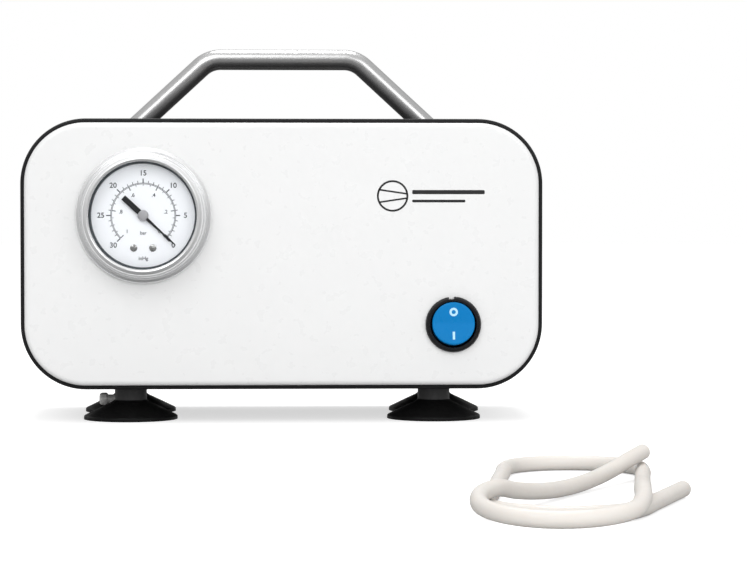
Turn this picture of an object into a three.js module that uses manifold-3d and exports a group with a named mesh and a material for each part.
// Small dry rotary vane vacuum pump in a rounded case: gauge and rocker switch on
// the front, carrying handle on top, suction-cup feet, hose inlet underneath, mains
// inlet and exhaust silencer at the back, and one loose hose lying in front of it.
// Millimetres, +Z up, +X to the right of someone facing the front, +Y to the back.
// Origin: on the surface it stands on, under the middle of the case.
import * as THREE from "three";
import { mergeVertices } from "three/addons/utils/BufferGeometryUtils.js";
import Module from "manifold-3d";

// ---- driving dimensions -------------------------------------------------------
const CASE_W = 216, CASE_H = 112, CASE_R = 27;   // outer outline of the sleeve
const CASE_Z0 = 14;                              // underside of the case
const SLEEVE_Y = 46, SLEEVE_WALL = 1.6;          // half depth and wall of the sleeve
const COVER_Y = 50, COVER_INSET = 1.9;           // half depth at the covers' faces
const COVER_WALL = 2.4, COVER_SKIRT_Y = 36;      // face wall, inner end of the skirt
const FOOT_X = 64.2, FOOT_REAR_X = 66.9;         // foot positions across, front and rear
const FOOT_Y = 22, FOOT_R = 19.8;                // foot positions in depth, rim radius
const BAR_R = 4.4;                               // handle bar
const HANDLE_FOOT_X = 61.2, HANDLE_TOP_X = 31.5, HANDLE_TOP_Z = 153.3, HANDLE_BEND = 12.5;
const GX = -56.9, GZ = 85.9;                     // gauge axis
const SX = 70.6, SZ = 40.9;                      // switch axis
const SWITCH_PIVOT_Y = -49, SWITCH_TILT = 7;     // rocker pivot, half swing in degrees
const IX = 75, IZ = 38;                          // mains inlet
const EX = -74, EZ = 46;                         // exhaust silencer
const NX = -63, NY = 0, NZ = 6.9;                // hose inlet, underneath, and its barb's height
const AY = 12, AZ = 68;                          // motor and pump axis, along X
const BORE_R = 20, BORE_UP = 2.8, ROTOR_R = 17;  // vane pump
const HOSE_OD = 5, HOSE_ID = 3.2;                  // loose hose
const GAP = 0.3;
const CZ = CASE_Z0 + CASE_H / 2;                 // middle of the case

const wasm = await Module();
wasm.setup();

// ---- helpers ------------------------------------------------------------------
// A closed three.js geometry becomes a solid: merged, cleaned, facing out.
function solid(geometry) {
  let g = geometry.clone();
  for (const k of ["normal", "uv"]) if (g.getAttribute(k)) g.deleteAttribute(k);
  g = mergeVertices(g, 1e-4);
  const p = g.getAttribute("position").array;
  const src = g.index.array;
  const tri = [];
  let vol = 0;
  for (let i = 0; i < src.length; i += 3) {
    const [a, b, c] = [src[i], src[i + 1], src[i + 2]];
    if (a === b || b === c || a === c) continue;
    tri.push(a, b, c);
    const [ax, ay, az, bx, by, bz, cx, cy, cz] = [a, b, c].flatMap((v) => [p[3 * v], p[3 * v + 1], p[3 * v + 2]]);
    vol += ax * (by * cz - bz * cy) + ay * (bz * cx - bx * cz) + az * (bx * cy - by * cx);
  }
  if (vol < 0) for (let i = 0; i < tri.length; i += 3) [tri[i], tri[i + 1]] = [tri[i + 1], tri[i]];
  return new wasm.Manifold(new wasm.Mesh({ numProp: 3, vertProperties: Float32Array.from(p), triVerts: Uint32Array.from(tri) }));
}
function toGeometry(man) {
  const m = man.getMesh();
  const g = new THREE.BufferGeometry();
  g.setAttribute("position", new THREE.BufferAttribute(Float32Array.from(m.vertProperties), 3));
  g.setIndex(new THREE.BufferAttribute(Uint32Array.from(m.triVerts), 1));
  g.computeVertexNormals();
  return g;
}
const AXIS = { // turns a geometry made along +Y so that it runs along the axis
  x: (g) => g.rotateZ(-Math.PI / 2),
  y: (g) => g,
  z: (g) => g.rotateX(Math.PI / 2),
};
// box from corner to corner
function box(x0, x1, y0, y1, z0, z1) {
  return solid(new THREE.BoxGeometry(x1 - x0, y1 - y0, z1 - z0).translate((x0 + x1) / 2, (y0 + y1) / 2, (z0 + z1) / 2));
}
// cylinder or cone along an axis from a0 to a1, centred on (u, v): the other two axes in X, Y, Z order
function cyl(axis, u, v, a0, a1, r0, r1 = r0, n = 16) {
  const g = AXIS[axis](new THREE.CylinderGeometry(r1, r0, a1 - a0, n, 1));
  const m = (a0 + a1) / 2;
  if (axis === "x") g.translate(m, u, v);
  if (axis === "y") g.translate(u, m, v);
  if (axis === "z") g.translate(u, v, m);
  return solid(g);
}
// closed profile of [radius, position along the axis] turned about the axis
function turned(axis, u, v, profile, n = 24) {
  const pts = profile.map(([r, a]) => new THREE.Vector2(Math.max(r, 0), a));
  if (profile[0][0] > 0) pts.push(pts[0].clone());
  const g = AXIS[axis](new THREE.LatheGeometry(pts, n));
  if (axis === "x") g.translate(0, u, v);
  if (axis === "y") g.translate(u, 0, v);
  if (axis === "z") g.translate(u, v, 0);
  return solid(g);
}
// outline points [x, z] drawn out along Y from y0 to y1
function plate(points, y0, y1, bevel = 0) {
  const shape = new THREE.Shape(points.map(([x, z]) => new THREE.Vector2(x, z)));
  const opt = { depth: y1 - y0 - 2 * bevel, steps: 1, bevelEnabled: bevel > 0 };
  if (bevel > 0) Object.assign(opt, { bevelThickness: bevel, bevelSize: bevel, bevelOffset: -bevel, bevelSegments: 2 });
  return solid(new THREE.ExtrudeGeometry(shape, opt).rotateX(Math.PI / 2).translate(0, y1 - bevel, 0));
}
function roundedRect(cx, cz, w, h, r, n = 7) {
  const out = [];
  const corners = [[w / 2 - r, h / 2 - r, 0], [-w / 2 + r, h / 2 - r, 90], [-w / 2 + r, -h / 2 + r, 180], [w / 2 - r, -h / 2 + r, 270]];
  for (const [x, z, a0] of corners)
    for (let i = 0; i <= n; i++) {
      const a = ((a0 + (90 * i) / n) * Math.PI) / 180;
      out.push([cx + x + r * Math.cos(a), cz + z + r * Math.sin(a)]);
    }
  return out;
}
function circle2(r, n) {
  return Array.from({ length: n }, (_, i) => new THREE.Vector2(r * Math.cos((2 * Math.PI * i) / n), r * Math.sin((2 * Math.PI * i) / n)));
}
// round bar or tube along a curve
function along(curve, steps, r, hole = 0, n = 12) {
  const shape = new THREE.Shape(circle2(r, n));
  if (hole) shape.holes.push(new THREE.Path(circle2(hole, n).reverse()));
  return solid(new THREE.ExtrudeGeometry(shape, { steps, extrudePath: curve, bevelEnabled: false }));
}
function smooth(points) {
  return new THREE.CatmullRomCurve3(points.map((p) => new THREE.Vector3(...p)), false, "centripetal");
}
const cut = (a, ...bs) => bs.reduce((m, b) => m.subtract(b), a);
const join = (a, ...bs) => bs.reduce((m, b) => m.add(b), a);

const group = new THREE.Group();
group.name = "rotary_vane_pump";
const LOOK = {
  black_paint: [0x17181a, 0.45, 0.2], white_paint: [0xf1f2f1, 0.35, 0.0], steel: [0xb4b6b6, 0.3, 1.0],
  dark_steel: [0x6d6f72, 0.45, 0.9], chrome: [0xd8dadb, 0.12, 1.0], clear: [0xeef4f8, 0.05, 0.0],
  black_plastic: [0x141415, 0.4, 0.0], dial_white: [0xf4f6fa, 0.5, 0.0], blue: [0x1886d0, 0.3, 0.0],
  rubber: [0x161616, 0.8, 0.0], silicone: [0xe9e3da, 0.55, 0.0], nickel: [0x9a9a96, 0.3, 1.0],
  bronze: [0xa98550, 0.6, 0.8], aluminium: [0xb9bcbf, 0.45, 0.9], graphite: [0x2c2c2e, 0.6, 0.1],
  board: [0x2d6a3c, 0.6, 0.0], brass: [0xc2a14f, 0.35, 0.9], cast: [0x8f9294, 0.6, 0.8],
};
function add(name, man, look) {
  const [color, roughness, metalness] = LOOK[look];
  const mesh = new THREE.Mesh(toGeometry(man), new THREE.MeshStandardMaterial({ color, roughness, metalness }));
  mesh.name = name;
  group.add(mesh);
}

// ---- case ---------------------------------------------------------------------
const feetAt = [[-FOOT_X, -FOOT_Y], [FOOT_X, -FOOT_Y], [-FOOT_REAR_X, FOOT_Y], [FOOT_REAR_X, FOOT_Y]];
const tieAt = [[-97, 30], [97, 30], [-97, 110], [97, 110]];
const HANDLE_SCREW_X = 58.8;
{
  const outer = plate(roundedRect(0, CZ, CASE_W, CASE_H, CASE_R), -SLEEVE_Y, SLEEVE_Y);
  const inner = plate(roundedRect(0, CZ, CASE_W - 2 * SLEEVE_WALL, CASE_H - 2 * SLEEVE_WALL, CASE_R - SLEEVE_WALL), -60, 60);
  add("case_sleeve", cut(outer, inner,
    ...feetAt.map(([x, y]) => cyl("z", x, y, 10, 20, 2.2, 2.2, 8)),
    cyl("z", NX, NY, 10, 20, 3.6, 3.6, 12),
    ...[-1, 1].map((s) => cyl("z", s * HANDLE_SCREW_X, 0, 120, 130, 2.0, 2.0, 8))), "black_paint");
}
const W = CASE_W - 2 * COVER_INSET, H = CASE_H - 2 * COVER_INSET, R = CASE_R - COVER_INSET;
function cover(sign) { // sign -1: front, +1: rear
  const shell = plate(roundedRect(0, CZ, W, H, R), -COVER_Y, COVER_Y, 2);
  const hollow = plate(roundedRect(0, CZ, W - 4.4, H - 4.4, R - 2.2), -COVER_Y + COVER_WALL, COVER_Y - COVER_WALL);
  const keep = sign < 0 ? box(-200, 200, -60, -COVER_SKIRT_Y, -10, 200) : box(-200, 200, COVER_SKIRT_Y, 60, -10, 200);
  return cut(shell, hollow).intersect(keep);
}
{
  const posts = tieAt.map(([x, z]) => cyl("y", x, z, -COVER_Y + 1, -32, 4.2, 4.2, 10));
  const blind = tieAt.map(([x, z]) => cyl("y", x, z, -44, -30, 1.9, 1.9, 8));
  add("front_cover", cut(join(cover(-1), ...posts), ...blind,
    cyl("y", GX, GZ, -55, -30, 25.4, 25.4, 32), cyl("y", SX, SZ, -55, -30, 10.4, 10.4, 28)), "white_paint");
  const vents = [];
  for (let i = -4; i <= 4; i++) vents.push(plate(roundedRect(i * 8, CZ, 3, 36, 1.49, 2), 40, 60));
  add("rear_cover", cut(cover(1), ...vents,
    ...tieAt.map(([x, z]) => cyl("y", x, z, 40, 60, 2.1, 2.1, 8)),
    box(IX - 13.8, IX + 13.8, 30, 60, IZ - 10.3, IZ + 10.3),
    cyl("y", EX, EZ, 30, 60, 5.2, 5.2, 24)), "white_paint");
}
tieAt.forEach(([x, z], i) => {
  const head = turned("y", x, z, [[0, 50.3], [3.6, 50.3], [3.6, 51.4], [2.6, 52.6], [0, 52.6]], 16);
  const slotted = cut(join(head, cyl("y", x, z, -41, 50.8, 1.6, 1.6, 8)),
    box(x - 2, x + 2, 51.6, 54, z - 0.4, z + 0.4));
  add(`tie_screw_${i + 1}`, slotted, "steel");
});
add("chassis_plate", cut(join(box(-78, 78, -34, 34, 16, 17.6), box(76.4, 78, -14, 20, 16, 70)),
  ...feetAt.map(([x, y]) => cyl("z", x, y, 10, 20, 2.2, 2.2, 8)), cyl("z", NX, NY, 10, 20, 3.6, 3.6, 12)), "steel");

// ---- feet -----------------------------------------------------------------------
feetAt.forEach(([x, y], i) => {
  const profile = [[0, 13.7], [6.75, 13.7], [6.75, 7.9], [7.4, 7.3], [FOOT_R - 0.5, 1.9], [FOOT_R, 1.6], [FOOT_R, 0],
    [FOOT_R - 2.4, 0], [9, 4], [0, 5]];
  add(`foot_${i + 1}`, cut(turned("z", x, y, profile, 24), cyl("z", x, y, 6.6, 20, 1.9, 1.9, 8)), "rubber");
  const head = turned("z", x, y, [[0, 17.9], [3.4, 17.9], [3.4, 19.2], [2.4, 20.2], [0, 20.2]], 12);
  add(`foot_screw_${i + 1}`, cut(join(head, cyl("z", x, y, 7.2, 18.4, 1.6, 1.6, 8)),
    box(x - 2, x + 2, y - 0.4, y + 0.4, 19.4, 22)), "steel");
});

// ---- handle ---------------------------------------------------------------------
{
  const path = new THREE.CurvePath();
  const top = HANDLE_TOP_Z, dx = HANDLE_FOOT_X - HANDLE_TOP_X, dz = top - (CASE_Z0 + CASE_H);
  const len = Math.hypot(dx, dz), ux = dx / len, uz = dz / len;
  const t = HANDLE_BEND * Math.tan(Math.atan2(uz, ux) / 2);
  const V = (x, z) => new THREE.Vector3(x, 0, z);
  const low = (s) => V(s * (HANDLE_FOOT_X + 6 * ux), CASE_Z0 + CASE_H - 6 * uz);
  const bendA = (s) => V(s * (HANDLE_TOP_X + t * ux), top - t * uz), bendB = (s) => V(s * (HANDLE_TOP_X - t), top);
  path.add(new THREE.LineCurve3(low(-1), bendA(-1)));
  path.add(new THREE.QuadraticBezierCurve3(bendA(-1), V(-HANDLE_TOP_X, top), bendB(-1)));
  path.add(new THREE.LineCurve3(bendB(-1), bendB(1)));
  path.add(new THREE.QuadraticBezierCurve3(bendB(1), V(HANDLE_TOP_X, top), bendA(1)));
  path.add(new THREE.LineCurve3(bendA(1), low(1)));
  const bar = along(path, 26, BAR_R, 0, 12);
  const floor = box(-100, 100, -20, 20, 80, CASE_Z0 + CASE_H + GAP);
  add("handle_bar", cut(bar, floor, ...[-1, 1].map((s) => cyl("z", s * HANDLE_SCREW_X, 0, 120, 131.5, 1.9, 1.9, 8))), "steel");
  [-1, 1].forEach((s, i) => {
    const x = s * HANDLE_SCREW_X;
    const head = turned("z", x, 0, [[0, 121.6], [2.2, 121.8], [3.2, 122.6], [3.2, 124.1], [0, 124.1]], 16);
    add(`handle_screw_${i + 1}`, cut(join(head, cyl("z", x, 0, 123.8, 131, 1.6, 1.6, 12)), box(x - 1.8, x + 1.8, -0.4, 0.4, 120, 122.6)), "steel");
  });
}

// ---- gauge ----------------------------------------------------------------------
{
  const G = (profile, n = 32) => turned("y", GX, GZ, profile, n);
  add("gauge_case", cut(G([[0, -24], [25, -24], [25, -50.3], [27.3, -50.3], [27.3, -51.5], [25, -51.5], [25, -58], [23.8, -58], [23.8, -25.4], [0, -25.4]]),
    cyl("z", GX, -36, 50, 66, 4.4, 4.4, 20)), "steel");
  add("gauge_bezel", G([[27.8, -51.8], [27.8, -55.4], [26.2, -57.0], [26.2, -58.6], [24.4, -62.0], [23.2, -62.5],
    [21.9, -61.8], [21.9, -60.6], [25.3, -60.6], [25.3, -51.8]]), "chrome");
  add("gauge_lens", G([[0, -60.3], [24.9, -60.3], [24.9, -58.3], [0, -58.3]], 32), "clear");
  add("gauge_seal_ring", G([[23.4, -58.0], [23.4, -55.6], [20.8, -55.6], [20.8, -58.0]]), "black_plastic");
  add("gauge_dial", cut(G([[0, -55.3], [23.3, -55.3], [23.3, -54.5], [0, -54.5]]), cyl("y", GX, GZ, -60, -50, 1.2, 1.2, 16)), "dial_white");
  // pointer: at rest on zero, 42.5 degrees below horizontal to the right
  const a = (-42.5 * Math.PI) / 180;
  const P = (u, v) => [GX + u * Math.cos(a) - v * Math.sin(a), GZ + u * Math.sin(a) + v * Math.cos(a)];
  const needle = plate([P(-10.9, -1.15), P(-3, -0.9), P(10.5, -0.5), P(10.8, -1.1), P(18.1, -0.12), P(18.1, 0.12), P(10.8, 1.1), P(10.5, 0.5), P(-3, 0.9), P(-10.9, 1.15)], -57.3, -56.8);
  add("gauge_pointer", cut(join(needle, cyl("y", GX, GZ, -57.7, -56.5, 2.25, 2.25, 24)), cyl("y", GX, GZ, -60, -50, 1.0, 1.0, 12)), "black_plastic");
  // arbor with pinion
  const gear = (cx, cz, teeth, root, tip, from, to, phase = 0) => {
    const pts = [];
    const step = (2 * Math.PI) / teeth;
    const n0 = Math.ceil(from / step), n1 = Math.floor(to / step);
    for (let i = n0; i <= n1; i++) {
      const c = i * step + phase;
      for (const [r, o] of [[root, -0.36], [tip, -0.14], [tip, 0.14], [root, 0.36]]) pts.push([cx + r * Math.sin(c + o * step), cz + r * Math.cos(c + o * step)]);
    }
    return pts;
  };
  const pinion = plate(gear(GX, GZ, 8, 1.4, 2.3, 0, 2 * Math.PI - 0.5).reverse(), -47.6, -45.4);
  add("gauge_arbor", join(cyl("y", GX, GZ, -58.0, -42.0, 0.7, 0.7, 12), pinion), "brass");
  // toothed sector below the arbor, its arc running to the left at rest
  const sx = GX, sz = GZ - 14, deg = Math.PI / 180;
  const arc = gear(sx, sz, 48, 10.6, 11.5, -52 * deg, 7 * deg);
  const fan = plate([[sx - 1.6, sz - 1.5], ...arc, [sx + 1.6, sz - 1.5]].reverse(), -47.2, -45.8);
  const windowCut = plate([[sx - 7.2, sz + 5.6], [sx - 4.2, sz + 8.2], [sx - 0.9, sz + 8.6], [sx - 1.6, sz + 4.2]].reverse(), -50, -40);
  add("gauge_sector", join(cut(fan, windowCut), cyl("y", sx, sz, -50.2, -42.0, 1.3, 1.3, 12), cyl("y", sx, sz, -47.2, -45.8, 2.4, 2.4, 16)), "brass");
  const platePts = (dz0, dz1) => [[GX - 8, GZ + dz0], [GX + 8, GZ + dz0], [GX + 8, GZ + dz1], [GX - 8, GZ + dz1]];
  const holes = [cyl("y", GX, GZ, -60, -40, 1.1, 1.1, 12), cyl("y", sx, sz, -60, -40, 1.7, 1.7, 12)];
  add("gauge_movement_frame", cut(join(plate(platePts(-20, 7.5), -51.2, -50.4), plate(platePts(-20, 7.5), -42.4, -41.3),
    ...[[-6, 5.5], [6, 5.5], [-6, -18.2], [6, -18.2]].map(([u, v]) => cyl("y", GX + u, GZ + v, -51, -41.5, 1.4, 1.4, 10))), ...holes), "brass");
  add("gauge_socket", join(box(GX - 4.5, GX + 4.5, -41, -31, GZ - 22.5, GZ - 13), cyl("z", GX, -36, 57, 66, 3.9, 3.9, 20), cyl("z", GX, -36, 49, 58, 2.0, 2.0, 16)), "brass");
  const ring = [];
  for (let i = 0; i <= 14; i++) {
    const b = (-71 + (i * 265) / 14) * deg;
    ring.push([GX + 17.6 * Math.cos(b), -35.5, GZ + 17.6 * Math.sin(b)]);
  }
  add("gauge_bourdon_tube", along(smooth(ring), 20, 2.0, 0, 6), "brass");
}

// ---- switch ---------------------------------------------------------------------
{
  const body = turned("y", SX, SZ, [[0, -27], [10.1, -27], [10.1, -50.3], [11.5, -50.3], [11.5, -51.8], [10.9, -52.4], [9.6, -52.4], [9.6, -41], [0, -41]], 28);
  add("switch_housing", cut(join(body, box(SX - 5.6, SX - 4.8, -27.5, -19, SZ - 2.4, SZ + 2.4), box(SX + 4.8, SX + 5.6, -27.5, -19, SZ - 2.4, SZ + 2.4)),
    box(SX - 2.6, SX + 0.6, -54, -51.4, SZ + 9.5, SZ + 13)), "black_plastic");
  // rocker in the middle position, front in two planes, then turned to off (top pressed)
  const t = (SWITCH_TILT * Math.PI) / 180, r = 8.8, y0 = -53.0, e = r * Math.tan(t);
  const side = [[y0, 0], [y0 - e, r], [-46.5, r], [-44.5, 5], [-44.5, -5], [-46.5, -r], [y0 - e, -r]];
  const shape = new THREE.Shape(side.map(([y, z]) => new THREE.Vector2(y, z)));
  const g = new THREE.ExtrudeGeometry(shape, { depth: 2 * r, bevelEnabled: false, steps: 1 });
  // shape x -> Y, shape y -> Z, depth -> X
  g.applyMatrix4(new THREE.Matrix4().makeBasis(new THREE.Vector3(0, 1, 0), new THREE.Vector3(0, 0, 1), new THREE.Vector3(1, 0, 0))).translate(-r, 0, 0);
  const rocker = solid(g).intersect(cyl("y", 0, 0, -60, -40, r, r, 28));
  const geo = toGeometry(rocker);
  geo.translate(0, -SWITCH_PIVOT_Y, 0).rotateX(-t).translate(SX, SWITCH_PIVOT_Y, SZ);
  add("switch_rocker", solid(geo), "blue");
}

// ---- back -----------------------------------------------------------------------
{
  const flange = plate(roundedRect(IX, IZ, 31, 24.5, 3, 4), 50.3, 52.8);
  const socket = plate([[IX - 12.2, IZ - 8.2], [IX + 12.2, IZ - 8.2], [IX + 12.2, IZ + 4.2], [IX + 8.2, IZ + 8.2], [IX - 8.2, IZ + 8.2], [IX - 12.2, IZ + 4.2]], 36, 60);
  const terminals = [-7, 0, 7].map((x) => box(IX + x - 2.4, IX + x + 2.4, 22, 29, IZ - 0.4, IZ + 0.4));
  add("power_inlet", cut(join(flange, box(IX - 13.5, IX + 13.5, 28, 51, IZ - 10, IZ + 10), ...terminals), socket), "black_plastic");
  [[-7, -1.5], [0, 2.5], [7, -1.5]].forEach(([x, z], i) =>
    add(`inlet_pin_${i + 1}`, box(IX + x - 1, IX + x + 1, 36.3, 49.5, IZ + z - 2, IZ + z + 2), "brass"));
  add("exhaust_silencer", join(
    turned("y", EX, EZ, [[0, 36], [4.8, 36], [4.8, 50.6], [0, 50.6]], 24),
    cyl("y", EX, EZ, 50.3, 53.6, 8.6, 8.6, 6),
    turned("y", EX, EZ, [[0, 53.2], [6.2, 53.2], [6.2, 59.2], [5.4, 61.2], [3.4, 62.2], [0, 62.5]], 24),
    cyl("y", EX, EZ, 29.5, 36.5, 2.0, 2.0, 16)), "bronze");
}

// ---- suction line ---------------------------------------------------------------
{
  const nozzle = join(cyl("z", NX, NY, 3.8, 13.7, 4.3, 4.3, 24), cyl("z", NX, NY, 13, 22, 3.2, 3.2, 24), cyl("z", NX, NY, 21.5, 29, 2.0, 2.0, 16),
    turned("x", NY, NZ, [[0, NX], [1.9, NX], [1.9, NX - 12.3], [2.7, NX - 12.9], [2.7, NX - 15.2], [2.0, NX - 16], [0, NX - 16]], 16));
  add("inlet_elbow", cut(nozzle, cyl("x", NY, NZ, NX - 20, NX, 1.1, 1.1, 12), cyl("z", NX, NY, NZ - 0.5, 40, 1.1, 1.1, 12)), "nickel");
  add("inlet_nut", cut(cyl("z", NX, NY, 17.9, 21.0, 6.2, 6.2, 6), cyl("z", NX, NY, 10, 30, 3.5, 3.5, 24)), "nickel");
  const hose = (z0, z1) => cut(cyl("z", NX, NY, z0, z1, 3.5, 3.5, 16), cyl("z", NX, NY, z0 - 1, z1 + 1, 2.35, 2.35, 16));
  add("inlet_hose", hose(22.3, 36.7), "silicone");
  add("tee_fitting", join(cyl("z", NX, NY, 37, 47, 3.4, 3.4, 20), cyl("z", NX, NY, 30, 54, 2.0, 2.0, 16), cyl("y", NX, 42, -7, 0, 3.4, 3.4, 20), cyl("y", NX, 42, -14, 0, 2.0, 2.0, 16)), "nickel");
  add("suction_hose", hose(47.3, 61.4), "silicone");
  add("gauge_hose", along(smooth([[NX, -7.3, 42], [NX, -14.5, 42], [-62.6, -22, 41.4], [-60.8, -30.5, 41.2], [-58.3, -35.3, 44], [GX, -36, 49], [GX, -36, 56.6]]), 9, 3.5, 2.5, 6), "silicone");
  add("exhaust_hose", along(smooth([[-57.2, 20, 56], [-64.5, 20, 56], [-70.5, 20.4, 54.4], [-73.6, 21.6, 51], [EX, 24.5, 47.4], [EX, 29, EZ], [EX, 35.6, EZ]]), 9, 3.5, 2.5, 6), "silicone");
}

// ---- pump head ------------------------------------------------------------------
const X = (profile, n = 24) => turned("x", AY, AZ, profile, n);
{
  const lug = (x0, x1) => [0, 90, 180, 270].map((d) => {
    const b = ((d + 45) * Math.PI) / 180;
    return cyl("x", AY + 26.5 * Math.cos(b), AZ + 26.5 * Math.sin(b), x0, x1, 4.6, 4.6, 8);
  });
  add("pump_flange", X([[4.5, -26], [30, -26], [30, -20.3], [4.5, -20.3]]), "aluminium");
  add("pump_cylinder", cut(cyl("x", AY, AZ, -50, -26.3, 28.2, 28.2, 24).add(join(...lug(-50, -26.3))),
    cyl("x", AY, AZ + BORE_UP, -60, -20, BORE_R, BORE_R, 36)), "cast");
  const slots = [-1, 1].map((s) => box(-60, -20, s < 0 ? AY - 20 : AY + 5.3, s < 0 ? AY - 5.3 : AY + 20, AZ - 1.3, AZ + 1.3));
  add("pump_rotor", cut(X([[4.3, -49.7], [ROTOR_R, -49.7], [ROTOR_R, -26.6], [4.3, -26.6]], 24), ...slots), "dark_steel");
  [-1, 1].forEach((s, i) => add(`vane_${i + 1}`, box(-49.5, -26.8, Math.min(AY + s * 5.7, AY + s * 16.8), Math.max(AY + s * 5.7, AY + s * 16.8), AZ - 1, AZ + 1), "graphite"));
  // end cover with a block and a nipple for suction, and a nipple for exhaust
  const ec = join(cyl("x", AY, AZ, -56, -50.3, 30, 30, 24), box(-68, -55, -5, 5, 66, 76), cyl("z", NX, NY, 61.7, 67, 3.3, 3.3, 20), cyl("z", NX, NY, 55, 64, 2.0, 2.0, 16),
    cyl("x", 20, 56, -64.5, -55, 2.0, 2.0, 16));
  add("pump_end_cover", cut(ec, cyl("x", AY, AZ, -53.5, -40, 4.5, 4.5, 24)), "aluminium");
}

// ---- motor ----------------------------------------------------------------------
{
  const bell = (a, b, s) => X([[4.5, a], [29, a], [29, b], [26.5, b], [26.5, a + s * 2.5], [9, a + s * 2.5], [9, a + s * 9], [4.5, a + s * 9]]);
  add("motor_bell_left", bell(-20, -8, 1), "aluminium");
  add("motor_stator", X([[20.5, -7.7], [29, -7.7], [29, 47.7], [20.5, 47.7]]), "dark_steel");
  const vents = [0, 60, 120, 180, 240, 300].map((d) => cyl("x", AY + 17.5 * Math.cos((d * Math.PI) / 180), AZ + 17.5 * Math.sin((d * Math.PI) / 180), 56, 64, 4, 4, 8));
  add("motor_bell_right", cut(bell(60, 48, -1), ...vents), "aluminium");
  const grooves = Array.from({ length: 8 }, (_, i) => {
    const b = (i * 45 * Math.PI) / 180;
    return cyl("x", AY + 18.5 * Math.cos(b), AZ + 18.5 * Math.sin(b), -10, 50, 1.4, 1.4, 6);
  });
  add("motor_armature", cut(X([[4.3, -3], [19.5, -3], [19.5, 43], [4.3, 43]], 24), ...grooves), "dark_steel");
  add("drive_shaft", cyl("x", AY, AZ, -53, 70, 4, 4, 20), "steel");
  const blades = Array.from({ length: 7 }, (_, i) => {
    const g = new THREE.BoxGeometry(6.5, 1.4, 18).rotateZ(0.6).translate(0, 0, 14.5).rotateX((i * 2 * Math.PI) / 7).translate(66.3, AY, AZ);
    return solid(g);
  });
  add("motor_fan", cut(join(X([[4.3, 63], [8, 63], [8, 69.6], [4.3, 69.6]], 24), ...blades), cyl("x", AY, AZ, 50, 80, 4.3, 4.3, 24)), "black_plastic");
  add("motor_bracket", cut(box(4, 36, -10, 34, 17.9, 47), cyl("x", AY, AZ, -60, 60, 29.3, 29.3, 40), box(0, 40, -5, 29, 21, 35)), "aluminium");
}

// ---- power board ----------------------------------------------------------------
add("power_board", join(box(84, 85.6, -14, 20, 30, 70), ...[[-9, 35], [16, 35], [-9, 65], [16, 65]].map(([y, z]) => cyl("x", y, z, 78.3, 84.5, 2.4, 2.4, 10)),
  box(85.2, 99, -10, 6, 36, 52), cyl("x", 13.4, 44, 85.2, 101, 5, 5, 12), cyl("x", 13.4, 58, 85.2, 97, 4, 4, 12), box(85.2, 90, -10, 4, 57, 65)), "board");

// ---- loose hose -----------------------------------------------------------------
// centre line; where it crosses itself the later run lies on the earlier one
const HOSE_PATH = [
  [120.5, -326, 2.55], [115.7, -337.9, 2.55], [111, -349.7, 2.55], [106.2, -361.6, 2.55], [101.5, -373.5, 2.55], [94.5, -384, 2.55], [83, -389.1, 2.55],
  [70.5, -387.2, 2.55], [61.1, -378.8, 2.55], [57.8, -366.7, 2.55], [59.3, -354, 2.55], [61.2, -341.4, 2.55], [63, -328.7, 2.55], [64.9, -316.1, 2.55],
  [66.7, -303.4, 2.55], [68.5, -290.8, 2.55], [70.4, -278.2, 2.55], [72.1, -265.5, 2.55], [76.6, -253.7, 2.55], [86.7, -246.1, 2.55], [99.3, -245.2, 2.55],
  [110.3, -251.3, 2.55], [116.3, -262.4, 2.55], [116, -275, 2.55], [114, -287.7, 2.55], [112.1, -300.3, 2.56], [110.2, -313, 2.79], [108.3, -325.6, 3.4],
  [106.4, -338.3, 4.46], [104.5, -350.9, 5.96], [102.7, -363.5, 7.77], [100.8, -376.2, 8.38], [99, -388.9, 6.64], [94.4, -400.6, 4.99], [84.3, -408.1, 3.94],
  [71.7, -409.1, 3.64], [60.6, -403.2, 4.11], [54.3, -392.2, 5.31], [55, -379.7, 7.1], [60.7, -368.3, 7.71], [67.1, -357.2, 5.74], [73.3, -346, 4.24],
  [79.6, -334.9, 3.29], [85.8, -323.7, 2.91], [92, -312.6, 3.1], [98.3, -301.4, 3.84], [104.5, -290.3, 5.12], [110.8, -279.1, 6.88], [117, -268, 8.37],
];
{
  const line = smooth(HOSE_PATH);
  add("hose", along(line, 50, HOSE_OD / 2, HOSE_ID / 2, 6), "silicone");
}

export default group;
